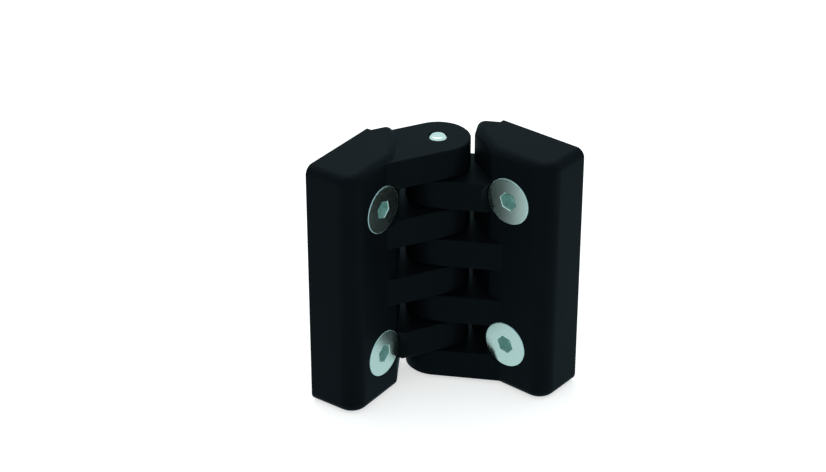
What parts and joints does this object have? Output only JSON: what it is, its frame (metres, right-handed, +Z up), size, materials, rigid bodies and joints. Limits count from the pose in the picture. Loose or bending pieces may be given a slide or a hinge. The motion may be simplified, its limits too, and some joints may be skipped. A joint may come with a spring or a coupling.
{
  "type": "plastic hinge",
  "caption": "Black moulded plastic hinge with two thick rounded leaves, interlocking barrel knuckles on a steel pin, and countersunk hex-socket screws through each leaf.",
  "frame": {"origin": "on the left leaf's mounting face, midway between its two screws, which is at half the height of the leaves", "axes": "+Z up along the pin, +Y out of the left leaf's mounting face, +X along the left leaf towards the pin"},
  "size_m": [0.0523, 0.0546, 0.065],
  "materials": {
    "leaf_plastic": "black glass-filled polyamide with a fine moulded grain and a satin sheen",
    "pin_steel": "bright turned steel",
    "screw_steel": "bright zinc-plated steel"
  },
  "bodies": {
    "left_side": {"leaf_left": "leaf_plastic", "hinge_pin": "pin_steel", "screw_left_top": "screw_steel", "screw_left_bottom": "screw_steel"},
    "right_side": {"leaf_right": "leaf_plastic", "screw_right_top": "screw_steel", "screw_right_bottom": "screw_steel"}
  },
  "joints": [
    {"name": "hinge_swing", "type": "hinge", "parent": "left_side", "child": "right_side", "pos_m": [0.02, -0.015, 0], "axis": [0, 0, 1], "range_deg": [-86, 120]}
  ]
}
